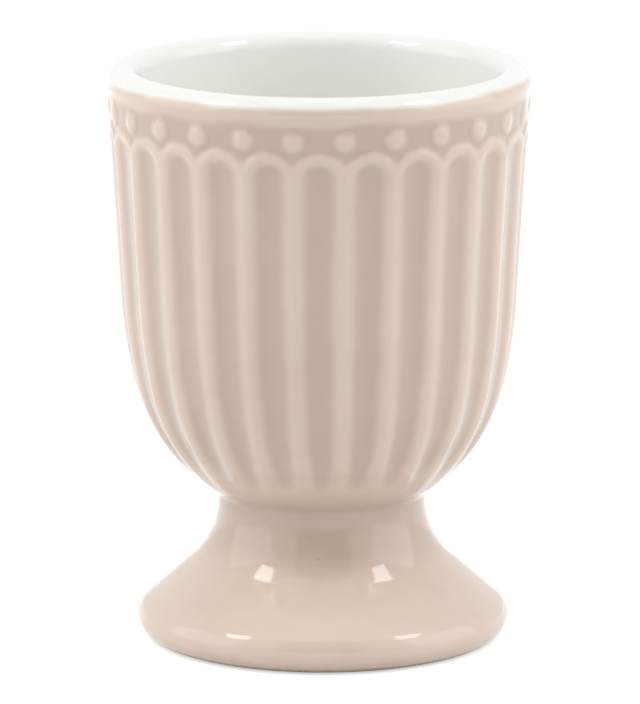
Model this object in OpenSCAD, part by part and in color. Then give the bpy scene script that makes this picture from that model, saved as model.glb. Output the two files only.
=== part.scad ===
// Footed egg cup in glazed stoneware, with a fluted bowl, a row of beads and a plain foot.
// Millimetres, +Z up, origin on the table under the middle of the foot.

/* [Cup] */
// Height from the table to the crest of the lip
cup_h = 68.6; // [65:0.1:72]
// Outer radius of the lip, the widest place of the cup
rim_r = 25; // [24.4:0.1:26]
// Thickness of the lip, a full round
lip_t = 3.8; // [3.2:0.1:4.4]
// How far the wall under the lip lies inside the lip's outer radius
lip_proud = 0.11; // [0.05:0.01:0.25]
// Thickness of the bowl's wall under the lip, glaze included
wall_t = 3.7; // [3:0.1:4.4]
// Thickness of the white glaze in the bowl and under the foot
glaze_t = 0.4; // [0.3:0.05:0.5]

/* [Bowl] */
// Taper of the bowl's wall, in degrees from upright
wall_taper = 3.4; // [2.8:0.1:4]
// Height at which the straight wall begins to curve in
belly_z = 40.5; // [39:0.5:42]
// Radius of the belly's gentle curve
belly_r = 58; // [52:1:64]
// Radius of the tighter curve under the bowl
base_r = 21.8; // [20:0.2:23]
// Radius of the cavity's lower corner, where the egg's end sits
well_r = 13; // [11:0.5:14]

/* [Neck and foot] */
// Radius of the neck, the narrowest place
neck_r = 12.2; // [11.6:0.1:12.8]
// Height of the neck
neck_z = 16.9; // [16.3:0.1:17.5]
// Radius of the small hollow curve where the bowl meets the neck
neck_fillet_r = 0.9; // [0.6:0.1:1.4]
// Radius of the foot's sweep out from the neck
sweep_r = 10.35; // [9.6:0.05:10.9]
// Largest radius of the foot
foot_r = 21.94; // [21.4:0.02:22.6]
// Radius of the foot's rounded edge
foot_edge_r = 2.48; // [2.2:0.01:2.8]
// Inner radius of the hollow at the ring that the cup stands on
ring_in_r = 17.4; // [16.6:0.1:18]
// Height above the table up to which the glaze in the hollow is wiped off
bare_h = 0.6; // [0.45:0.05:0.8]
// Depth of the hollow under the foot
hollow_h = 10.2; // [8.5:0.1:11.5]
// Radius of the hollow's rounded crown
hollow_crown_r = 5; // [4:0.1:6]
// Height of the hollow's upright skirt inside the ring
hollow_skirt_h = 1.6; // [1.2:0.1:2.2]

/* [Flutes, arches and beads] */
// Number of flutes, arches and beads round the bowl
flute_count = 26; // [24:1:28]
// Width of the ridge between two flutes, at their arched tops
ridge_w = 1.25; // [1:0.05:1.6]
// Depth of a flute along the straight wall
flute_deep = 0.6; // [0.45:0.05:0.75]
// From the crest of the lip down to the top of a flute
flute_drop = 7.4; // [7:0.1:8]
// How much wider than the belly a flute's curve is there, so that it grows shallower downwards
belly_ease = 4; // [2:0.5:6]
// The same under the bowl, where the flute fades out
base_ease = 4; // [3:0.5:6]
// Width of the moulding over a flute's round top
arch_w = 1.2; // [0.9:0.05:1.5]
// Radius of the arched line that the moulding ends in
arch_r = 4.5; // [4:0.1:5]
// How far the beaded field lies below the flutes' ridges
field_deep = 0.22; // [0.15:0.01:0.3]
// From the crest of the lip down to the row of beads
bead_drop = 4.9; // [4.7:0.1:5.1]
// Width of a bead where it leaves the field
bead_w = 2.8; // [2.2:0.1:3]
// How far a bead stands out of the field
bead_up = 0.5; // [0.35:0.05:0.65]

/* [Glaze colours] */
// Angle up the lip's round at which the outer colour ends and the white begins
colour_line = 28; // [15:1:45]

/* [Hidden] */

rose_beige = "#d9bfb0";
glaze_white = "#f7f6f2";

$fn = 96;
// Degrees of arc in each straight step of an outline
arc_step = 6;
// How far a cutter runs past what it cuts
overrun = 2;
// Tilts of a face that looks straight down, out, up and in
down = 90;
out = 0;
up = -90;
inward = -180;

// A point of an outline is [distance from the cup's axis, height].
// A tilt is the angle by which a face looks below the horizontal.
function facing(tilt) = [cos(tilt), -sin(tilt)];

function arc(centre, r, from, to) =
    let (steps = max(1, ceil(abs(to - from) / arc_step)))
    [for (i = [0 : steps]) centre + r * facing(from + (to - from) * i / steps)];

function reversed(points) = [for (i = [len(points) - 1 : -1 : 0]) points[i]];

// The tilt at which the point offset + r * facing(tilt) is at the distance reach from [0, 0]:
// the first such tilt, or the one past it
function tilt_at(offset, r, reach, past = false) =
    let (
        cosine = (reach * reach - offset * offset - r * r) / (2 * r * norm(offset)),
        swing = acos(max(-1, min(1, cosine)))
    )
    (past ? 360 - swing : swing) - atan2(offset.y, offset.x);

// The lip's round, and the straight wall under it
lip_r = lip_t / 2;
lip_c = [rim_r - lip_r, cup_h - lip_r];
function wall_at(z) = [rim_r - lip_proud - (lip_c.y - z) * tan(wall_taper), z];

// The tilt at which a face parallel to the wall, and below it by a depth, meets the lip's round
function lip_tilt(depth) =
    wall_taper + acos(((lip_r - lip_proud) * cos(wall_taper) - depth) / lip_r);

// Centres of the arcs down the bowl, each tangent to the next, and the tilts where they meet
belly_top = wall_at(belly_z);
belly_c = belly_top - belly_r * facing(wall_taper);
neck_c = [neck_r + neck_fillet_r, neck_z];
base_tilt = tilt_at(belly_c - neck_c, belly_r - base_r, base_r + neck_fillet_r);
base_c = belly_c + (belly_r - base_r) * facing(base_tilt);
neck_tilt = atan2(base_c.y - neck_c.y, neck_c.x - base_c.x);

// The foot: a hollow sweep from the neck, a straight slope, and a round edge at the table
edge_c = [foot_r - foot_edge_r, foot_edge_r];
sweep_c = [neck_r + sweep_r, neck_z];
edge_to_sweep = sweep_c - edge_c;
slope_tilt = acos((foot_edge_r + sweep_r) / norm(edge_to_sweep))
    - atan2(edge_to_sweep.y, edge_to_sweep.x);

// The outer face without its relief, from the table up to the neck and on to the lip
foot_line = concat(
    arc(edge_c, foot_edge_r, down, slope_tilt),
    arc(sweep_c, -sweep_r, slope_tilt, out)
);
bowl_line = concat(
    arc(neck_c, -neck_fillet_r, out, neck_tilt),
    arc(base_c, base_r, neck_tilt, base_tilt),
    arc(belly_c, belly_r, base_tilt, wall_taper),
    arc(lip_c, lip_r, lip_tilt(0), -colour_line)
);

// The inner face from the lip's round down to the flat floor of the cavity.
// The stoneware's own face lies behind it by the thickness of the white glaze.
inner_belly_r = belly_r - wall_t;
// The corner is never rounder than the cavity is wide
corner_r = min(well_r, inner_belly_r + belly_c.x / cos(base_tilt));
well_c = belly_c + (inner_belly_r - corner_r) * facing(base_tilt);
floor_z = well_c.y - corner_r;
function cavity_line(inset, start) = concat(
    arc(lip_c, lip_r - inset, start, inward),
    arc(belly_c, inner_belly_r + inset, wall_taper, base_tilt),
    arc(well_c, corner_r + inset, base_tilt, down),
    [[0, floor_z - inset]]
);

// The hollow under the foot, parallel to its slope, from the ring up to the rounded crown
crown_z = hollow_h - hollow_crown_r;
slope_face = facing(slope_tilt);
crown_in = (hollow_crown_r + (crown_z - hollow_skirt_h) * slope_face.y) / slope_face.x;
crown_c = [ring_in_r - crown_in, crown_z];
function hollow_line(inset, low) = concat(
    [[ring_in_r + inset, low], [ring_in_r + inset, hollow_skirt_h]],
    arc(crown_c, hollow_crown_r + inset, slope_tilt, up),
    [[0, hollow_h + inset]]
);

// Flutes are cut by a round tool whose middle follows the wall at a distance
flute_top_z = cup_h - flute_drop;
flute_turn = 360 / flute_count;
flute_w = wall_at(flute_top_z).x * 2 * PI / flute_count - ridge_w;
flute_r = (flute_w * flute_w / 4 + flute_deep * flute_deep) / (2 * flute_deep);
flute_off = flute_r - flute_deep;
flute_head = wall_at(flute_top_z - flute_w / 2) + flute_off * facing(wall_taper);
flute_bend = belly_top + flute_off * facing(wall_taper);
flute_belly_r = belly_r + flute_off + belly_ease;
flute_belly_c = flute_bend - flute_belly_r * facing(wall_taper);
flute_base_r = base_r + flute_off + base_ease;
flute_base_c = flute_belly_c + (flute_belly_r - flute_base_r) * facing(base_tilt);
flute_end_tilt = tilt_at(flute_base_c - base_c, flute_base_r, base_r + flute_r, past = true);

// Arches, field and beads
arch_z = flute_top_z + arch_w - arch_r;
arch_inner_r = rim_r - lip_t;
bead_z = cup_h - bead_drop;
bead_r = (bead_w * bead_w / 4 + bead_up * bead_up) / (2 * bead_up);
bead_c = wall_at(bead_z) + (bead_up - bead_r - field_deep) * facing(wall_taper);
// A flute's tool keeps to a little less than its own share of the turn, and clear of the next
sector_share = 0.95;
sector = flute_turn * sector_share;

// A flute faces the front, and the beads stand over the ridges between the flutes
module around(shift) {
    for (i = [0 : flute_count - 1])
        rotate([0, 0, (i + shift) * flute_turn - 90])
            children();
}

module bent_tool(centre, r, from, to) {
    translate([centre.x, 0, centre.y])
        rotate([90, 0, 0])
            rotate([0, 0, -to])
                rotate_extrude(angle = to - from)
                    translate([r, 0])
                        circle(r = flute_r);
}

module flute() {
    intersection() {
        union() {
            translate([flute_head.x, 0, flute_head.y])
                sphere(r = flute_r);
            translate([flute_bend.x, 0, flute_bend.y])
                rotate([0, wall_taper, 0])
                    cylinder(h = norm(flute_head - flute_bend), r = flute_r);
            bent_tool(flute_belly_c, flute_belly_r, wall_taper, base_tilt);
            bent_tool(flute_base_c, flute_base_r, base_tilt, flute_end_tilt);
        }
        rotate([0, 0, -sector / 2])
            rotate_extrude(angle = sector)
                translate([neck_r, neck_z])
                    square([rim_r, cup_h - neck_z]);
    }
}

// The sunk field behind the beads, which ends below in a row of arches over the flutes
module field() {
    difference() {
        rotate_extrude()
            polygon(concat(
                [wall_at(arch_z) - field_deep * facing(wall_taper)],
                arc(lip_c, lip_r, lip_tilt(field_deep), out),
                [[rim_r + overrun, lip_c.y], [rim_r + overrun, arch_z]]
            ));
        around(0)
            translate([arch_inner_r, 0, arch_z])
                rotate([0, 90, 0])
                    cylinder(h = lip_t + 2 * overrun, r = arch_r);
    }
}

module bead() {
    translate([bead_c.x, 0, bead_c.y])
        sphere(r = bead_r);
}

// The bowl's casting, from its joint at the neck to the lip
module bowl() {
    color(rose_beige)
        difference() {
            union() {
                difference() {
                    rotate_extrude()
                        polygon(concat(
                            [[0, neck_z]],
                            bowl_line,
                            arc(lip_c, lip_r - glaze_t, -colour_line, up),
                            [[0, cup_h - glaze_t]]
                        ));
                    field();
                    around(0) flute();
                }
                around(0.5) bead();
            }
            rotate_extrude()
                polygon(concat([[0, cup_h], [lip_c.x, cup_h]], cavity_line(glaze_t, up)));
        }
}

// The foot's casting, with its hollow and the ring that stands on the table
module foot() {
    color(rose_beige)
        rotate_extrude()
            polygon(concat(foot_line, [[0, neck_z]], reversed(hollow_line(glaze_t, 0))));
}

// The white glaze inside the bowl and over the lip
module white_lining() {
    color(glaze_white)
        rotate_extrude()
            polygon(concat(
                cavity_line(0, -colour_line),
                reversed(cavity_line(glaze_t, -colour_line))
            ));
}

// The white glaze in the hollow under the foot
module underside_glaze() {
    color(glaze_white)
        rotate_extrude()
            polygon(concat(hollow_line(0, bare_h), reversed(hollow_line(glaze_t, bare_h))));
}

bowl();
foot();
white_lining();
underside_glaze();
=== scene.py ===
"""A footed egg cup in glazed stoneware: a fluted, beaded bowl in rose-beige glaze, white inside."""

import math

import bpy
import numpy as np
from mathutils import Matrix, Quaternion, Vector


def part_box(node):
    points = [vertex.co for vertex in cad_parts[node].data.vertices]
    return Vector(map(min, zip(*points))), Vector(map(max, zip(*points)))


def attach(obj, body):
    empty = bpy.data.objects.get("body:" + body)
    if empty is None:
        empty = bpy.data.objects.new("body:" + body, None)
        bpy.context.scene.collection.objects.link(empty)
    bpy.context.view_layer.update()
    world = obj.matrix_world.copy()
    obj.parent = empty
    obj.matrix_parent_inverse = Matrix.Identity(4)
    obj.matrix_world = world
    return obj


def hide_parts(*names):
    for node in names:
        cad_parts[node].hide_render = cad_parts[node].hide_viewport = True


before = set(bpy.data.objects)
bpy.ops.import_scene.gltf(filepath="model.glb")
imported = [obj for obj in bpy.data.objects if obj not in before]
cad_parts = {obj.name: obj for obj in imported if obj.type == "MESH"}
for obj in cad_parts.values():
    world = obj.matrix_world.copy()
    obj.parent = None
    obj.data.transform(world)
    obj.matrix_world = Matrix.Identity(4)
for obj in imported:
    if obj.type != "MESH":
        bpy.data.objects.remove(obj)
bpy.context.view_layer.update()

MM = 0.001

# Overall sizes in millimetres, taken from the frame. The rim lies a little inside the frame's.
CUP_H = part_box("white_lining")[1].z / MM
RIM_IN = 0.09
RIM_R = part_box("bowl")[1].x / MM - RIM_IN
JOINT_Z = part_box("foot")[1].z / MM
FOOT_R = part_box("foot")[1].x / MM

# The bowl: its lip, walls and glaze, the belly and base that the wall runs into, and the cavity's corner
LIP_T = 3.8
WALL_T = 3.7
GLAZE_T = 0.4
WALL_TAPER = math.radians(3.36)
BELLY_Z = 41
BELLY_R = 62.8
BASE_R = 21.77
WELL_R = 13

# The waist, a little below the joint of bowl and foot, and the foot's sweep down to its round edge
WAIST_DROP = 0.35
WAIST_R = 12.26
WAIST_FILLET_R = 1.6
SWEEP_R = 9.9
FOOT_EDGE_R = 2.48

# The bare ring that the cup stands on, and the hollow inside it
RING_IN_R = 17.4
BARE_H = 0.6
HOLLOW_H = 10.2
HOLLOW_CROWN_R = 5
HOLLOW_SKIRT_H = 1.6

# The relief round the bowl: flutes with round heads, arches over them, a sunk field and beads.
# The powers shape the slopes: of a flute along the wall, of its head, and of a bead.
FLUTE_COUNT = 26
FLUTE_DEEP = 0.46
FLUTE_DROP = 7.4
FLUTE_END_Z = 18.4
FLUTE_FADE = 6.5
FLUTE_POWER = 2
HEAD_POWER = 4
RIDGE_W = 1.25
ARCH_W = 1.2
ARCH_UP = 0.06
FIELD_DEEP = 0.17
BEAD_DROP = 4.9
BEAD_W = 3.5
BEAD_UP = 0.3
BEAD_POWER = 1.5

# How widely the glaze rounds each edge of the relief
RIDGE_SOFT = 0.34
FIELD_SOFT = 0.8
LIP_SOFT = 0.2

# How the hand-finished cup leans: heights, and how far its middle lies to the right there.
# The line through them is smoothed over LEAN_SMOOTH of its LEAN_SAMPLES samples to each side.
LEAN_HEIGHTS = [0, 4, 16, 28, 40, 52, 66]
LEAN_RIGHT = [0.47, 0.42, 0.30, 0.12, -0.04, -0.06, 0]
LEAN_SAMPLES = 200
LEAN_SMOOTH = 20

# Slow swells that the hand leaves in the foot: turns round the cup, start, and height in mm.
# They drift round with height, grow over a stretch above the table and fade over one below the joint.
HAND_SWELLS = [(2, 0.7, 0.03), (3, 2.1, 0.02), (5, 4.0, 0.012), (9, 1.3, 0.006)]
SWELL_DRIFT_H = 5
SWELL_GROW_H = 3
SWELL_FADE_H = 4

# How far the thin glaze of the lip's round reaches down, how softly it ends, and its waver
LIP_BAND = 1.8
LIP_BAND_SOFT = 1.3
LIP_SWELLS = [(7, 0.4, 0.16), (12, 2.2, 0.12), (19, 5.1, 0.07)]
# How early the thick glaze is whole on the way into a flute, and the thin glaze on the way up a bead
FLUTE_FILL = 1.1
BEAD_CLEAR = 1.25

# Places round the cup in degrees from the front, and how far up the lip's round the colour climbs
COLOUR_CLIMB = [
    (-180, 30), (-140, 25), (-105, 24), (-82, 12), (-68, 22), (-54, 27), (-46, 32), (-36, 33),
    (-29, 26), (-14, 31), (0, 30), (12, 32), (22, 30), (31, 26), (42, 32), (54, 39), (66, 37),
    (82, 29), (110, 27), (145, 22),
]
# Width below the colour's edge over which the white glaze shows through it
COLOUR_BLEED = 0.55

# Share of the thick glaze's colour at the neck and the foot's edge, and the heights where it
# begins and is whole on the foot, and where it ends on the bowl. At the neck this darker colour is
# partly pooled glaze and partly painted shade, where the bowl shades its own base and the upper foot.
NECK_POOL_AND_SHADE = 0.95
EDGE_THICK = 0.9
NECK_SHADE_FROM_Z, NECK_SHADE_FULL_Z, NECK_SHADE_TO_Z = 8, 13, 21.5
# Share of the white glaze's paler pooled colour in the hollow's crown under the foot, the height where it
# begins, and its rise. The paler crown is partly pooled glaze and partly painted light.
CROWN_POOL_AND_PAINTED_LIGHT = 0.6
CROWN_POOL_Z = 7
CROWN_POOL_RISE = 3

# Mesh spacing in millimetres, and columns round the cup
FINE_STEP = 0.2
PLAIN_STEP = 0.5
WALL_STEP = 0.8
CROWN_STEP = 1
HIDDEN_STEP = 2
JOINT_STEP = 3
COLUMNS_PER_FLUTE = 20
COLUMNS = FLUTE_COUNT * COLUMNS_PER_FLUTE
FOOT_COLUMNS = 416
# Rows closer than this are one row, and lengths under the second value are taken as zero
WELD_GAP = 1e-4
TINY = 1e-6

# The front of the cup as an angle round it, and tilts of a face below the horizontal
FRONT = -math.pi / 2
DOWN = math.radians(90)
OUT = 0.0
UP = -DOWN
INWARD = -2 * DOWN

# Which material a strip of a piece takes, by its place in the piece's list
GLAZE, CLAY = 0, 1


def facing(tilt):
    """The way a face looks that is tilted below the horizontal, as distance from the axis and height."""
    return np.array([math.cos(tilt), -math.sin(tilt)])


def tilt_at(offset, r, reach):
    """The tilt at which offset + r * facing(tilt) lies at the distance reach from zero."""
    cosine = (reach**2 - offset @ offset - r**2) / (2 * r * np.linalg.norm(offset))
    return math.acos(max(-1, min(1, cosine))) - math.atan2(offset[1], offset[0])


def arc(centre, r, start, end, step=PLAIN_STEP):
    """Points along an arc between two tilts. A negative radius makes it a hollow one."""
    count = max(3, math.ceil(abs((end - start) * r) / step) + 1)
    tilts = np.linspace(start, end, count)
    return np.asarray(centre) + r * np.stack([np.cos(tilts), -np.sin(tilts)], axis=1)


def line(start, end, step=PLAIN_STEP):
    """Points along a straight stretch."""
    start, end = np.asarray(start, float), np.asarray(end, float)
    count = max(3, math.ceil(np.linalg.norm(end - start) / step) + 1)
    return start + (end - start) * np.linspace(0, 1, count)[:, None]


def chain(*stretches):
    """One outline from stretches that follow each other, each joint held once."""
    return np.concatenate([stretches[0]] + [s[1:] for s in stretches[1:]])


def columns_of(count):
    """The angles of the columns round the cup, from the front."""
    return FRONT + 2 * math.pi * np.arange(count) / count


# The outline's arcs, each tangent to the next. A name in _C is an arc's centre, as distance from the
# axis and height, and one in _TILT is the tilt at which one arc hands over to the next.
LIP_R = LIP_T / 2
LIP_C = np.array([RIM_R - LIP_R, CUP_H - LIP_R])
WALL_LOOK = facing(WALL_TAPER)
WALL_UP = np.array([-WALL_LOOK[1], WALL_LOOK[0]])
WALL_TOP = LIP_C + LIP_R * WALL_LOOK


def wall_at(z):
    """The wall's outer face at a height."""
    return WALL_TOP + WALL_UP * (z - WALL_TOP[1]) / WALL_UP[1]


BELLY_TOP = wall_at(BELLY_Z)
BELLY_C = BELLY_TOP - BELLY_R * WALL_LOOK
WAIST_Z = JOINT_Z - WAIST_DROP
WAIST_C = np.array([WAIST_R + WAIST_FILLET_R, WAIST_Z])
JOINT_TILT = math.asin(WAIST_DROP / WAIST_FILLET_R)
JOINT_R = WAIST_C[0] - WAIST_FILLET_R * math.cos(JOINT_TILT)
BASE_TILT = tilt_at(BELLY_C - WAIST_C, BELLY_R - BASE_R, BASE_R + WAIST_FILLET_R)
BASE_C = BELLY_C + (BELLY_R - BASE_R) * facing(BASE_TILT)
NECK_TILT = math.atan2(BASE_C[1] - WAIST_C[1], WAIST_C[0] - BASE_C[0])
EDGE_C = np.array([FOOT_R - FOOT_EDGE_R, FOOT_EDGE_R])
SWEEP_C = np.array([WAIST_R + SWEEP_R, WAIST_Z])
SLOPE_TILT = (
    math.acos((FOOT_EDGE_R + SWEEP_R) / np.linalg.norm(SWEEP_C - EDGE_C))
    - math.atan2(*(SWEEP_C - EDGE_C)[::-1])
)
INNER_BELLY_R = BELLY_R - WALL_T
WELL_C = BELLY_C + (INNER_BELLY_R - WELL_R) * facing(BASE_TILT)
FLOOR_Z = WELL_C[1] - WELL_R
CROWN_Z = HOLLOW_H - HOLLOW_CROWN_R
SLOPE_LOOK = facing(SLOPE_TILT)
CROWN_IN = (HOLLOW_CROWN_R + (CROWN_Z - HOLLOW_SKIRT_H) * SLOPE_LOOK[1]) / SLOPE_LOOK[0]
CROWN_C = np.array([RING_IN_R - CROWN_IN, CROWN_Z])

FLUTE_TURN = 2 * math.pi / FLUTE_COUNT
FLUTE_TOP_Z = CUP_H - FLUTE_DROP
FLUTE_W = wall_at(FLUTE_TOP_Z)[0] * FLUTE_TURN - RIDGE_W
FLUTE_HEAD_Z = FLUTE_TOP_Z - FLUTE_W / 2
ARCH_R = FLUTE_W / 2 + ARCH_W
BEAD_Z = CUP_H - BEAD_DROP


def soft_max(a, b, width):
    """The larger of two levels, with the edge where they cross rounded over a width."""
    near = np.maximum(width - np.abs(a - b), 0) / width
    return np.maximum(a, b) + near**2 * width / 4


def soft_min(a, b, width):
    """The smaller of two levels, with the edge where they cross rounded over a width."""
    return -soft_max(-a, -b, width)


def soft_step(x):
    """A smooth rise from 0 at x = 0 to 1 at x = 1."""
    x = np.clip(x, 0, 1)
    return x * x * (3 - 2 * x)


def cavity_outline(inset, wall_step, corner_step):
    """The cavity from the belly's top down to the axis, set back into the wall by an inset."""
    return chain(
        arc(BELLY_C, INNER_BELLY_R + inset, WALL_TAPER, BASE_TILT, wall_step),
        arc(WELL_C, WELL_R + inset, BASE_TILT, DOWN, corner_step),
        line([WELL_C[0], FLOOR_Z - inset], [0, FLOOR_Z - inset], wall_step),
    )


def hollow_outline(inset, crown_step):
    """The hollow under the foot from the axis to its skirt, set back into the foot by an inset."""
    return chain(
        line([0, HOLLOW_H + inset], [CROWN_C[0], HOLLOW_H + inset], crown_step),
        arc(CROWN_C, HOLLOW_CROWN_R + inset, UP, SLOPE_TILT),
        line(CROWN_C + (HOLLOW_CROWN_R + inset) * SLOPE_LOOK, [RING_IN_R + inset, HOLLOW_SKIRT_H]),
    )


def relief(outline, theta):
    """How far the glazed face stands out from the plain outline, and how thick the glaze lies."""
    turn = (theta - FRONT) / FLUTE_TURN
    from_flute = np.abs(turn - np.round(turn)) * FLUTE_TURN
    radius, height = outline[:, 0][:, None], outline[:, 1][:, None]
    across = radius * from_flute
    to_bead = radius * (FLUTE_TURN / 2 - from_flute)
    over_head = np.maximum(height - FLUTE_HEAD_Z, 0)

    # A flute is a shallow round trough as wide as the ridges leave it, steeper at its head
    half_w = (radius * FLUTE_TURN - RIDGE_W) / 2
    reach = np.hypot(across, over_head)
    power = FLUTE_POWER + (HEAD_POWER - FLUTE_POWER) * soft_step(over_head / half_w)
    fade = soft_step((height - FLUTE_END_Z) / FLUTE_FADE)
    trough = FLUTE_DEEP * fade * (1 - (reach / half_w) ** power)
    flute = soft_max(trough, 0, np.maximum(RIDGE_SOFT * fade, TINY))

    # Outside the arches lies the sunk field. Each arch's crest is a low round rise.
    beyond = np.hypot(radius * FLUTE_TURN - across, over_head)
    outside = soft_min(reach, beyond, FIELD_SOFT) - ARCH_R
    field = soft_step(outside / FIELD_SOFT + 0.5)
    middle = ARCH_R - ARCH_W / 2
    arch = ARCH_UP * np.exp(-((np.minimum(reach, beyond) - middle) / (ARCH_W / 3)) ** 2)
    arch = arch * soft_step(over_head / ARCH_W)

    bead_reach = np.hypot(to_bead, height - BEAD_Z)
    bead = BEAD_UP * np.maximum(1 - (bead_reach / (BEAD_W / 2)) ** 2, 0) ** BEAD_POWER

    # Under the lip its round goes on inward until it meets the sunk field
    level = arch - flute - FIELD_DEEP * field + bead
    below_lip = (WALL_TOP - outline) @ WALL_UP
    lip = np.sqrt(np.maximum(LIP_R**2 - below_lip**2, 0)) - LIP_R
    level = soft_max(level, lip[:, None], LIP_SOFT)

    # The glaze is thick in the flutes and the field, and thin on the beads and below the lip
    on_bead = soft_step(bead / BEAD_UP * BEAD_CLEAR)
    waver = sum(tall * np.sin(turns * theta + start) for turns, start, tall in LIP_SWELLS)
    near_lip = soft_step((LIP_BAND + waver - below_lip[:, None]) / LIP_BAND_SOFT)
    thick = np.maximum(soft_step(flute / FLUTE_DEEP * FLUTE_FILL), field * (1 - on_bead))
    return level, thick * (1 - near_lip)


def lean(z):
    """How far the cup's middle lies to the right at a height."""
    heights = np.linspace(0, CUP_H, LEAN_SAMPLES)
    table = np.interp(heights, LEAN_HEIGHTS, LEAN_RIGHT)
    window = 2 * LEAN_SMOOTH + 1
    padded = np.pad(table, LEAN_SMOOTH, mode="edge")
    smooth = np.convolve(padded, np.ones(window) / window, mode="valid")
    return np.interp(z, heights, smooth)


def swells(theta, height):
    """The hand's slow swells in the foot, which die away at its joint and at the table."""
    drift = height / SWELL_DRIFT_H
    total = sum(tall * np.sin(turns * theta + start + drift) for turns, start, tall in HAND_SWELLS)
    return total * soft_step(height / SWELL_GROW_H) * soft_step((JOINT_Z - height) / SWELL_FADE_H)


def spin(outline, count=COLUMNS, raised=None):
    """A grid of places round the axis, a row for each point of the outline, raised off its face."""
    theta = columns_of(count)
    r, z = outline[:, 0][:, None], outline[:, 1][:, None]
    if raised is not None:
        along = np.gradient(outline, axis=0)
        along /= np.linalg.norm(along, axis=1, keepdims=True)
        r = r + raised * along[:, 1][:, None]
        z = z - raised * along[:, 0][:, None]
    r, z = np.broadcast_to(r, (len(outline), count)), np.broadcast_to(z, (len(outline), count))
    return np.stack([r * np.cos(theta), r * np.sin(theta), z], axis=2)


def colour_edge(theta):
    """The angle up the lip's round at which the colour ends, which wavers round the cup."""
    places = np.array([p for p, _ in COLOUR_CLIMB] + [COLOUR_CLIMB[0][0] + 360])
    climbs = np.array([c for _, c in COLOUR_CLIMB] + [COLOUR_CLIMB[0][1]])
    place = (np.degrees(theta - FRONT) + 180) % 360 - 180
    index = np.clip(np.searchsorted(places, place, side="right") - 1, 0, len(COLOUR_CLIMB) - 1)
    share = (place - places[index]) / (places[index + 1] - places[index])
    return np.radians(climbs[index] + (climbs[index + 1] - climbs[index]) * soft_step(share))


def lip_grid(start, end, inset=0.0, step=FINE_STEP):
    """The lip's round between two tilts, either of which may differ from column to column."""
    theta = columns_of(COLUMNS)
    start, end = np.broadcast_to(start, COLUMNS), np.broadcast_to(end, COLUMNS)
    count = max(3, math.ceil(np.max(np.abs(end - start)) * LIP_R / step) + 1)
    tilt = start + (end - start) * np.linspace(0, 1, count)[:, None]
    r = LIP_C[0] + (LIP_R - inset) * np.cos(tilt)
    z = LIP_C[1] - (LIP_R - inset) * np.sin(tilt)
    return np.stack([r * np.cos(theta), r * np.sin(theta), z], axis=2)


def grid_looks(grid):
    """The way the surface looks at each point of a grid."""
    along = np.gradient(grid, axis=0, edge_order=2 if len(grid) > 2 else 1)
    look = np.cross(np.roll(grid, -1, axis=1) - np.roll(grid, 1, axis=1), along)
    length = np.linalg.norm(look, axis=2, keepdims=True)
    # A row on the axis has no width, so it looks the way that the row beside it does
    for row in np.nonzero(length[:, 0, 0] < TINY)[0]:
        near = row + 1 if row == 0 else row - 1
        look[row], length[row] = look[near], length[near]
    return look / length


def corners_between(values, low):
    """The values at the four corners of each face between a row and the next one."""
    here, there = values[low], values[low + 1]
    return [here, np.roll(here, -1, axis=0), np.roll(there, -1, axis=0), there]


def meets(row, known):
    """Whether a row lies on a known one, which is held as its places and its points' numbers."""
    return known is not None and np.allclose(row, known[0], atol=WELD_GAP)


def solid(name, strips, materials):
    """A closed mesh from strips of rows, each strip starting on the row that the last one ended with.

    A strip is (grid, material, thick glaze and painted shading, colour's edge). It is smooth in
    itself and may meet the next one in an edge. A row on the axis is a single point.
    """
    places, marks, faces, looks, slots = [], [], [], [], []
    total, first, last = 0, None, None
    for grid, material, thick, edge in strips:
        grid = grid.copy()
        grid[:, :, 0] += lean(grid[:, :, 2])
        look = grid_looks(grid)
        rows, columns = grid.shape[:2]
        thick, edge = np.broadcast_to(thick, (rows, columns)), np.broadcast_to(edge, (rows, columns))

        # A row that lies on the last strip's end, or closes on the first row of all, adds no points
        numbers = np.empty((rows, columns), int)
        for index, row in enumerate(grid):
            if index == 0 and meets(row, last):
                numbers[index] = last[1]
            elif meets(row, first):
                numbers[index] = first[1]
            else:
                width = 1 if np.ptp(row, axis=0).max() < TINY else columns
                numbers[index] = total + np.arange(columns) % width
                places.append(row[:width])
                marks.append(np.stack([thick[index, :width], edge[index, :width]], axis=1))
                total += width
                first = first or (row, numbers[index])
        last = (grid[-1], numbers[-1])

        # Faces have four corners, and three where a row is a single point
        for low in range(rows - 1):
            corners, normals = corners_between(numbers, low), corners_between(look, low)
            if numbers[low, 0] == numbers[low, 1]:
                corners, normals = corners[1:], normals[1:]
            elif numbers[low + 1, 0] == numbers[low + 1, 1]:
                corners, normals = corners[:3], normals[:3]
            faces.extend(np.stack(corners, axis=1).tolist())
            looks.append(np.stack(normals, axis=1).reshape(-1, 3))
            slots.append(np.full(columns, material))
    return make_piece(name, *map(np.concatenate, (places, marks, looks, slots)), faces, materials)


def make_piece(name, places, marks, looks, slots, faces, materials):
    """An object in metres from points in millimetres, with the marks that its materials read."""
    mesh = bpy.data.meshes.new(name)
    mesh.from_pydata((places * MM).tolist(), [], faces)
    mesh.polygons.foreach_set("material_index", slots.astype(np.int32))
    mesh.polygons.foreach_set("use_smooth", np.ones(len(faces), bool))
    # The first mark is thick glaze with painted shade at the neck and painted light in the cavity; the
    # second is the colour's edge
    for column, mark in enumerate(["thick_glaze_and_painted_shading", "colour_edge"]):
        attribute = mesh.attributes.new(mark, "FLOAT", "POINT")
        attribute.data.foreach_set("value", marks[:, column].astype(np.float32))
    for material in materials:
        mesh.materials.append(material)
    mesh.normals_split_custom_set(looks.tolist())
    piece = bpy.data.objects.new(name, mesh)
    bpy.context.scene.collection.objects.link(piece)
    return piece


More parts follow.
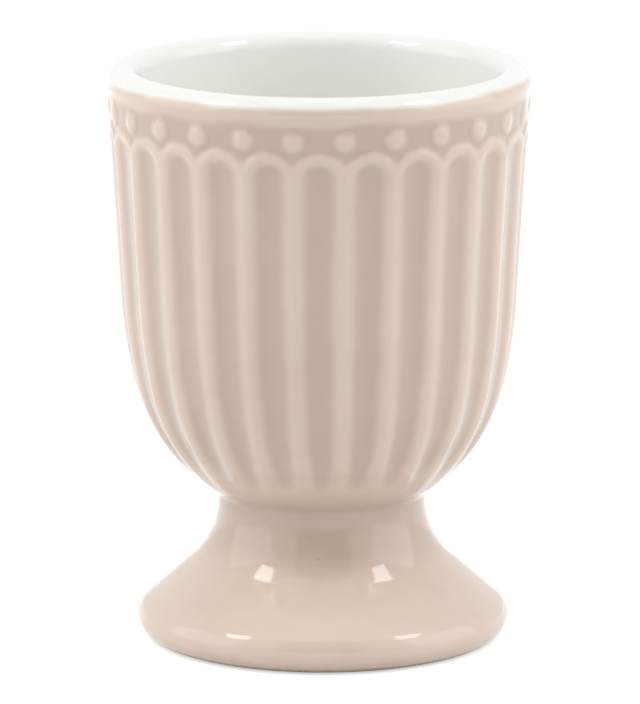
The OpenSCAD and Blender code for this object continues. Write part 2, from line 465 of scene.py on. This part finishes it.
def build_bowl(materials):
    """The fluted bowl, from its joint to the colour's edge, with the bed that the white glaze lies on."""
    outline = chain(
        arc(WAIST_C, -WAIST_FILLET_R, JOINT_TILT, NECK_TILT, FINE_STEP),
        arc(BASE_C, BASE_R, NECK_TILT, BASE_TILT, PLAIN_STEP),
        arc(BELLY_C, BELLY_R, BASE_TILT, WALL_TAPER, WALL_STEP),
        line(BELLY_TOP, wall_at(FLUTE_HEAD_Z - ARCH_W), WALL_STEP),
        line(wall_at(FLUTE_HEAD_Z - ARCH_W), WALL_TOP, FINE_STEP),
    )
    theta = columns_of(COLUMNS)
    raised, thick = relief(outline, theta)
    # Towards the joint the bowl darkens to the thick glaze's colour: partly pooled glaze, partly painted
    # shade under the bowl
    neck_pool_and_shade = soft_step((NECK_SHADE_TO_Z - outline[:, 1]) / (NECK_SHADE_TO_Z - JOINT_Z))
    thick = np.maximum(thick, NECK_POOL_AND_SHADE * neck_pool_and_shade[:, None])

    # Above the wall the colour climbs a band of the lip's round, and is thin and whitish at its edge
    climb = colour_edge(theta)
    band = lip_grid(WALL_TAPER, -climb)
    below = LIP_R * (WALL_TAPER + climb) * np.linspace(1, 0, len(band))[:, None]
    whitish = soft_step(1 - below / COLOUR_BLEED)
    face = np.concatenate([spin(outline, raised=raised), band[1:]])
    thick = np.concatenate([thick, np.zeros(whitish[1:].shape)])
    edge = np.concatenate([np.zeros(raised.shape), whitish[1:]])

    bed_lip = lip_grid(-climb, INWARD, GLAZE_T, PLAIN_STEP)
    bed = spin(cavity_outline(GLAZE_T, HIDDEN_STEP, HIDDEN_STEP))
    return solid("fluted_bowl", [
        (spin(line([0, JOINT_Z], [JOINT_R, JOINT_Z], JOINT_STEP)), CLAY, NECK_POOL_AND_SHADE, 0),
        (face, GLAZE, thick, edge),
        (np.stack([face[-1], bed_lip[0]]), CLAY, 0, 0),
        (bed_lip, CLAY, 0, 0),
        (np.concatenate([bed_lip[-1:], bed]), CLAY, 0, 0),
    ], materials)


def build_foot(materials):
    """The foot, up to its joint, with the bare ring that it stands on and the hollow's bed."""
    # The glaze is wiped off the foot's round edge up to a small height
    wiped = DOWN - math.acos(1 - BARE_H / FOOT_EDGE_R)
    bare_edge = arc(EDGE_C, FOOT_EDGE_R, DOWN, wiped, FINE_STEP)
    outer = chain(
        arc(EDGE_C, FOOT_EDGE_R, wiped, SLOPE_TILT, FINE_STEP),
        arc(SWEEP_C, -SWEEP_R, SLOPE_TILT, OUT, FINE_STEP),
        arc(WAIST_C, -WAIST_FILLET_R, OUT, JOINT_TILT, FINE_STEP),
    )
    height = outer[:, 1][:, None]
    raised = swells(columns_of(FOOT_COLUMNS), height)
    # Under the bowl the foot's sweep darkens to the thick glaze's colour: partly pooled glaze, partly
    # painted shade cast by the bowl
    thick = NECK_POOL_AND_SHADE * soft_step((height - NECK_SHADE_FROM_Z) / (NECK_SHADE_FULL_Z - NECK_SHADE_FROM_Z))
    thick = thick + EDGE_THICK * soft_step((FOOT_EDGE_R - height) / FOOT_EDGE_R)
    skirt_r = RING_IN_R + GLAZE_T
    skirt = line([skirt_r, HOLLOW_SKIRT_H], [skirt_r, 0])
    ring = line([skirt_r, 0], bare_edge[0])
    joint = line([JOINT_R, JOINT_Z], [0, JOINT_Z], JOINT_STEP)
    return solid("foot_body", [
        (spin(hollow_outline(GLAZE_T, HIDDEN_STEP), FOOT_COLUMNS), CLAY, 0, 0),
        (spin(skirt, FOOT_COLUMNS), CLAY, 0, 0),
        (spin(ring, FOOT_COLUMNS), CLAY, 0, 0),
        (spin(bare_edge, FOOT_COLUMNS), CLAY, 0, 0),
        (spin(outer, FOOT_COLUMNS, raised), GLAZE, thick, 0),
        (spin(joint, FOOT_COLUMNS), CLAY, 0, 0),
    ], materials)


def build_lining(materials):
    """The white glaze in the cavity and over the lip, with its back on the bowl."""
    start = -colour_edge(columns_of(COLUMNS))
    face_lip = lip_grid(start, INWARD)
    back_lip = lip_grid(INWARD, start, GLAZE_T, PLAIN_STEP)
    face = np.concatenate([face_lip, spin(cavity_outline(0, WALL_STEP, PLAIN_STEP))])
    back = spin(cavity_outline(GLAZE_T, HIDDEN_STEP, HIDDEN_STEP)[::-1])
    # Below the lip the white turns to its paler pooled colour: partly pooled glaze, partly painted light
    # that brightens the cavity
    pool_and_painted_light = soft_step((CUP_H - face[:, :, 2]) / LIP_T)
    return solid("white_glaze_lining", [
        (face, GLAZE, pool_and_painted_light, 0),
        (back, GLAZE, 0, 0),
        (np.concatenate([back[-1:], back_lip]), GLAZE, 0, 0),
        (np.stack([back_lip[-1], face_lip[0]]), GLAZE, 0, 0),
    ], materials)


def build_hollow_glaze(materials):
    """The white glaze in the hollow under the foot, with its back on the foot."""
    face = chain(
        hollow_outline(0, CROWN_STEP),
        line([RING_IN_R, HOLLOW_SKIRT_H], [RING_IN_R, BARE_H]),
    )
    skirt_r = RING_IN_R + GLAZE_T
    back = chain(
        hollow_outline(GLAZE_T, HIDDEN_STEP),
        line([skirt_r, HOLLOW_SKIRT_H], [skirt_r, BARE_H]),
    )[::-1]
    lip = line(face[-1], back[0])
    # The hollow's crown turns paler: partly pooled glaze, partly painted light
    pool_and_painted_light = CROWN_POOL_AND_PAINTED_LIGHT * soft_step((face[:, 1] - CROWN_POOL_Z) / CROWN_POOL_RISE)[:, None]
    return solid("hollow_glaze", [
        (spin(face, FOOT_COLUMNS), GLAZE, pool_and_painted_light, 0),
        (spin(lip, FOOT_COLUMNS), GLAZE, 0, 0),
        (spin(back, FOOT_COLUMNS), GLAZE, 0, 0),
    ], materials)


# The sockets of a colour Mix node by number: its two colours and its result
MIX_FIRST, MIX_SECOND, MIX_RESULT = 6, 7, 2
# Nearly all values of a noise lie in this span
NOISE_SPAN = (0.3, 0.7)


class Nodes:
    """A material's nodes, added and joined by short calls."""

    def __init__(self, name):
        self.material = bpy.data.materials.new(name)
        self.material.use_nodes = True
        self.tree = self.material.node_tree
        self.shader = self.tree.nodes["Principled BSDF"]
        self.place = self.tree.nodes.new("ShaderNodeTexCoord").outputs["Object"]

    def join(self, source, socket):
        """Links a node's output to a socket, or sets the socket to a number."""
        if isinstance(source, (int, float)):
            socket.default_value = source
        else:
            self.tree.links.new(source, socket)

    def mark(self, name):
        """A value that the mesh carries on its points."""
        node = self.tree.nodes.new("ShaderNodeAttribute")
        node.attribute_name = name
        return node.outputs["Fac"]

    def noise(self, scale, detail=3.0, roughness=0.5):
        """Cloudy noise, as a number of waves to the metre."""
        node = self.tree.nodes.new("ShaderNodeTexNoise")
        self.tree.links.new(self.place, node.inputs["Vector"])
        node.inputs["Scale"].default_value = scale
        node.inputs["Detail"].default_value = detail
        node.inputs["Roughness"].default_value = roughness
        return node.outputs["Fac"]

    def cells(self, scale):
        """Distance from the nearest of many scattered points, and a random number for each."""
        node = self.tree.nodes.new("ShaderNodeTexVoronoi")
        self.tree.links.new(self.place, node.inputs["Vector"])
        node.inputs["Scale"].default_value = scale
        split = self.tree.nodes.new("ShaderNodeSeparateColor")
        self.tree.links.new(node.outputs["Color"], split.inputs["Color"])
        return node.outputs["Distance"], split.outputs["Red"]

    def math(self, operation, first, second=0.0):
        """Two values put together, each a node's output or a number."""
        node = self.tree.nodes.new("ShaderNodeMath")
        node.operation = operation
        self.join(first, node.inputs[0])
        self.join(second, node.inputs[1])
        return node.outputs[0]

    def spread(self, value, low, high, to_low=0.0, to_high=1.0):
        """Maps a value from one span to another and holds it inside."""
        node = self.tree.nodes.new("ShaderNodeMapRange")
        self.tree.links.new(value, node.inputs["Value"])
        node.inputs["From Min"].default_value = low
        node.inputs["From Max"].default_value = high
        node.inputs["To Min"].default_value = to_low
        node.inputs["To Max"].default_value = to_high
        return node.outputs["Result"]

    def blend(self, share, first, second):
        """A mix of two colours, each a node's output or three numbers."""
        node = self.tree.nodes.new("ShaderNodeMix")
        node.data_type = "RGBA"
        self.join(share, node.inputs["Factor"])
        for source, socket in [(first, node.inputs[MIX_FIRST]), (second, node.inputs[MIX_SECOND])]:
            if isinstance(source, tuple):
                socket.default_value = (*source, 1)
            else:
                self.tree.links.new(source, socket)
        return node.outputs[MIX_RESULT]

    def bump(self, height, distance, before=None):
        """A normal that a height between 0 and 1 tilts, over a distance in metres."""
        node = self.tree.nodes.new("ShaderNodeBump")
        node.inputs["Distance"].default_value = distance
        self.tree.links.new(height, node.inputs["Height"])
        if before is not None:
            self.tree.links.new(before, node.inputs["Normal"])
        return node.outputs["Normal"]

    def finish(self, colour, roughness, normal):
        """Joins the patterns to the shader and gives the finished material."""
        self.tree.links.new(colour, self.shader.inputs["Base Color"])
        self.tree.links.new(roughness, self.shader.inputs["Roughness"])
        self.tree.links.new(normal, self.shader.inputs["Normal"])
        return self.material


# Colours as the glaze and clay show them in white light. The white glaze's pooled colour is paler
# than the glaze: partly pooled glaze and partly painted light that brightens the cavity and the hollow's
# crown.
ROSE_THIN = (0.710, 0.570, 0.478)
ROSE_THICK = (0.560, 0.432, 0.350)
ROSE_SPECK = (0.40, 0.29, 0.22)
WHITE = (0.855, 0.850, 0.822)
WHITE_POOL_PAINTED_LIGHT = (0.94, 0.935, 0.895)
WHITE_SPECK = (0.72, 0.68, 0.60)
CLAY_PALE = (0.62, 0.53, 0.42)
CLAY_DARK = (0.45, 0.36, 0.27)
# How much the glaze turns milky where it is seen at a slant, and how widely
MILKY, MILKY_SPREAD = 0.18, 0.5
GLAZE_IOR = 1.5
# Roughness of the glaze and of the bare clay, each from its smoothest to its roughest place
GLAZE_ROUGH = (0.07, 0.12)
CLAY_ROUGH = (0.72, 0.9)
# Sizes of the patterns, as their number to the metre, and depths of their bumps in metres
CLOUD, MOTTLE, PEEL, PINHOLE, GRAIN = 55, 260, 650, 190, 1900
PEEL_DEEP, PINHOLE_DEEP, GRAIN_DEEP = 0.000012, 0.00003, 0.00006
# How far clouds and mottling shift the glaze between its thin and its thick colour
CLOUD_SHIFT, MOTTLE_SHIFT = 0.12, 0.10
# How strongly the white shows through at the colour's edge
EDGE_SHOWS = 0.75
# A cell has a pinhole if its random number passes this span. Then come the pinhole's radius, from
# where it is whole to where it ends, as shares of a cell, and the strength of its colour.
PINHOLE_RARE = (0.88, 0.9)
PINHOLE_SPAN = (0.02, 0.045)
PINHOLE_TINT = 0.55
# Spans of noise over which the bare clay darkens, by its grain and in blotches, and how far these go
GRAIN_SPAN = (0.35, 0.7)
BLOTCH_SPAN = (0.35, 0.65)
BLOTCH_DARK = 0.4


def glaze(name, thin, thick, speck, edge_white=None):
    """A glossy glaze, blended from its thin colour to its thick one by the mesh's mark, with cloudy
    mottling, a soft peel and pinholes. The rose glaze is paler where it is thin. The mark holds thick
    glaze and painted shading: painted shade under the bowl, and painted light that turns the white
    paler in the cavity.
    """
    nodes = Nodes(name)
    cloud = nodes.spread(nodes.noise(CLOUD), *NOISE_SPAN, -CLOUD_SHIFT, CLOUD_SHIFT)
    mottling = nodes.noise(MOTTLE, detail=4, roughness=0.6)
    mottling = nodes.spread(mottling, *NOISE_SPAN, -MOTTLE_SHIFT, MOTTLE_SHIFT)
    # The mark is thick glaze with painted shading: painted shade at the neck, painted light in the white
    # cavity
    share = nodes.math("ADD", nodes.mark("thick_glaze_and_painted_shading"), nodes.math("ADD", cloud, mottling))
    colour = nodes.blend(nodes.spread(share, 0, 1), thin, thick)
    if edge_white is not None:
        showing = nodes.math("MULTIPLY", nodes.mark("colour_edge"), EDGE_SHOWS)
        colour = nodes.blend(showing, colour, edge_white)
    distance, chance = nodes.cells(PINHOLE)
    rare = nodes.spread(chance, *PINHOLE_RARE)
    dot = nodes.math("MULTIPLY", nodes.spread(distance, *PINHOLE_SPAN, 1, 0), rare)
    colour = nodes.blend(nodes.math("MULTIPLY", dot, PINHOLE_TINT), colour, speck)
    roughness = nodes.spread(nodes.noise(MOTTLE, detail=2), *NOISE_SPAN, *GLAZE_ROUGH)
    normal = nodes.bump(nodes.noise(PEEL, detail=2), PEEL_DEEP)
    normal = nodes.bump(nodes.math("SUBTRACT", 1, dot), PINHOLE_DEEP, normal)
    nodes.shader.inputs["IOR"].default_value = GLAZE_IOR
    nodes.shader.inputs["Sheen Weight"].default_value = MILKY
    nodes.shader.inputs["Sheen Roughness"].default_value = MILKY_SPREAD
    return nodes.finish(colour, roughness, normal)


def bare_clay():
    """Wiped stoneware: matt, sandy and speckled."""
    nodes = Nodes("bare_stoneware")
    grain = nodes.noise(GRAIN, detail=4, roughness=0.7)
    colour = nodes.blend(nodes.spread(grain, *GRAIN_SPAN), CLAY_PALE, CLAY_DARK)
    blotches = nodes.spread(nodes.noise(MOTTLE), *BLOTCH_SPAN, 0, BLOTCH_DARK)
    colour = nodes.blend(blotches, colour, CLAY_DARK)
    roughness = nodes.spread(grain, *NOISE_SPAN, *CLAY_ROUGH)
    return nodes.finish(colour, roughness, nodes.bump(grain, GRAIN_DEEP))


def add_camera():
    """The photographer's view: from the front, a little above the lip, aimed near the cup's middle."""
    elevation = math.radians(12.05)
    distance = 0.8796
    target_z = 0.03401
    focal_px, shift_px, image_h, sensor = 7437, 0.74, 704, 36
    data = bpy.data.cameras.new("camera")
    data.sensor_width = sensor
    data.lens = focal_px * sensor / image_h
    data.shift_x = shift_px / image_h
    camera = bpy.data.objects.new("camera", data)
    camera.location = (0, -distance * math.cos(elevation), target_z + distance * math.sin(elevation))
    camera.rotation_euler = (math.pi / 2 - elevation, 0, 0)
    bpy.context.scene.collection.objects.link(camera)
    bpy.context.scene.camera = camera


def seen_directly(tree):
    """One where the eye or a mirror sees the surface, and zero where it only passes light on."""
    path = tree.nodes.new("ShaderNodeLightPath")
    total = path.outputs["Is Camera Ray"]
    for ray in ["Is Glossy Ray", "Is Transmission Ray"]:
        either = tree.nodes.new("ShaderNodeMath")
        either.operation = "MAXIMUM"
        tree.links.new(total, either.inputs[0])
        tree.links.new(path.outputs[ray], either.inputs[1])
        total = either.outputs[0]
    return total


# The point that the lamps look at. Then each lamp's name, its azimuth from the front, elevation,
# distance, size, roll and radiance, and the strength of the light from all round.
AIM = (0, 0, 0.035)
LAMPS = [
    ("left_box", -76, 52, 0.9, (0.19, 0.33), 45, 7),
    ("right_box", 76, 52, 0.9, (0.19, 0.35), -45, 6.2),
    ("left_wall", -82, 18, 0.95, (0.9, 0.75), 0, 1.15),
    ("right_wall", 82, 18, 0.95, (0.9, 0.75), 0, 1.15),
]
SKY = 0.70
# The table: its colour, its glow to the eye, half its width, and its height, a hair below the cup
TABLE_WHITE = 0.8
TABLE_GLOW = 0.5
TABLE_HALF = 3
TABLE_Z = -0.00002
# The dark card: its grey, roughness, half its width, and its lower and upper edge as (y, z)
CARD_GREY = 0.08
CARD_ROUGH = 0.9
CARD_HALF = 0.5
CARD_FOOT = (-1.0, 0.1)
CARD_TOP = (-0.55, 1.5)


def add_lamp(name, azimuth, elevation, distance, size, roll, radiance):
    """A soft box that looks at the cup. Its power follows from its size and its radiance."""
    data = bpy.data.lights.new(name, "AREA")
    data.shape = "RECTANGLE"
    data.size, data.size_y = size
    data.energy = radiance * math.pi * size[0] * size[1]
    lamp = bpy.data.objects.new(name, data)
    azimuth, elevation = math.radians(azimuth), math.radians(elevation)
    out = math.cos(elevation)
    way = Vector((math.sin(azimuth) * out, -math.cos(azimuth) * out, math.sin(elevation)))
    lamp.location = Vector(AIM) + way * distance
    turned = way.to_track_quat("Z", "Y") @ Quaternion((0, 0, 1), math.radians(roll))
    lamp.rotation_euler = turned.to_euler()
    lamp.visible_camera = False
    bpy.context.scene.collection.objects.link(lamp)


def add_world():
    """White all round to the eye and in reflections, and a dimmer light on the cup."""
    world = bpy.data.worlds.new("studio")
    bpy.context.scene.world = world
    world.use_nodes = True
    tree = world.node_tree
    shown = tree.nodes["Background"]
    shown.inputs["Color"].default_value = (1, 1, 1, 1)
    shown.inputs["Strength"].default_value = 1
    light = tree.nodes.new("ShaderNodeBackground")
    light.inputs["Color"].default_value = (1, 1, 1, 1)
    light.inputs["Strength"].default_value = SKY
    mix = tree.nodes.new("ShaderNodeMixShader")
    tree.links.new(seen_directly(tree), mix.inputs[0])
    tree.links.new(light.outputs[0], mix.inputs[1])
    tree.links.new(shown.outputs[0], mix.inputs[2])
    tree.links.new(mix.outputs[0], tree.nodes["World Output"].inputs[0])


def add_plane(name, corners, material):
    """A flat piece of the studio, which isn't part of the cup."""
    mesh = bpy.data.meshes.new(name)
    mesh.from_pydata(corners, [], [(0, 1, 2, 3)])
    mesh.materials.append(material)
    plane = bpy.data.objects.new(name, mesh)
    bpy.context.scene.collection.objects.link(plane)
    return plane


def add_floor():
    """A white table, seen from above only, that keeps the cup's shadow and is white to the eye."""
    material = bpy.data.materials.new("pale_floor")
    material.use_nodes = True
    tree = material.node_tree
    tree.nodes.remove(tree.nodes["Principled BSDF"])
    diffuse = tree.nodes.new("ShaderNodeBsdfDiffuse")
    diffuse.inputs["Color"].default_value = (TABLE_WHITE, TABLE_WHITE, TABLE_WHITE, 1)
    glow = tree.nodes.new("ShaderNodeEmission")
    strength = tree.nodes.new("ShaderNodeMath")
    strength.operation = "MULTIPLY"
    strength.inputs[1].default_value = TABLE_GLOW
    tree.links.new(seen_directly(tree), strength.inputs[0])
    tree.links.new(strength.outputs[0], glow.inputs["Strength"])
    add = tree.nodes.new("ShaderNodeAddShader")
    tree.links.new(diffuse.outputs[0], add.inputs[0])
    tree.links.new(glow.outputs[0], add.inputs[1])
    side = tree.nodes.new("ShaderNodeNewGeometry").outputs["Backfacing"]
    clear = tree.nodes.new("ShaderNodeBsdfTransparent")
    mix = tree.nodes.new("ShaderNodeMixShader")
    tree.links.new(side, mix.inputs[0])
    tree.links.new(add.outputs[0], mix.inputs[1])
    tree.links.new(clear.outputs[0], mix.inputs[2])
    tree.links.new(mix.outputs[0], tree.nodes["Material Output"].inputs[0])
    square = [(-1, -1), (1, -1), (1, 1), (-1, 1)]
    add_plane("floor", [(TABLE_HALF * x, TABLE_HALF * y, TABLE_Z) for x, y in square], material)


def add_dark_card():
    """The dark end of the room above and behind the camera, which the glaze mirrors in its middle."""
    material = bpy.data.materials.new("dark_card")
    material.use_nodes = True
    shader = material.node_tree.nodes["Principled BSDF"]
    shader.inputs["Base Color"].default_value = (CARD_GREY, CARD_GREY, CARD_GREY, 1)
    shader.inputs["Roughness"].default_value = CARD_ROUGH
    card = add_plane("dark_card", [
        (-CARD_HALF, *CARD_FOOT), (CARD_HALF, *CARD_FOOT), (CARD_HALF, *CARD_TOP), (-CARD_HALF, *CARD_TOP)
    ], material)
    card.visible_camera = False
    card.visible_diffuse = False
    card.visible_shadow = False


rose = glaze("rose_glaze", ROSE_THIN, ROSE_THICK, ROSE_SPECK, WHITE)
white = glaze("white_glaze", WHITE, WHITE_POOL_PAINTED_LIGHT, WHITE_SPECK)
clay = bare_clay()
bowl = build_bowl([rose, clay])
foot = build_foot([rose, clay])
lining = build_lining([white])
hollow = build_hollow_glaze([white])
for piece, node, slot_name in [
    (bowl, "bowl", "coloured_glaze"), (foot, "foot", "coloured_glaze"),
    (lining, "white_lining", "white_glaze"), (hollow, "underside_glaze", "white_glaze"),
]:
    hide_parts(node)
    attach(piece, "root")

add_camera()
for lamp in LAMPS:
    add_lamp(*lamp)
add_world()
add_floor()
add_dark_card()
bpy.context.scene.view_settings.view_transform = "Standard"
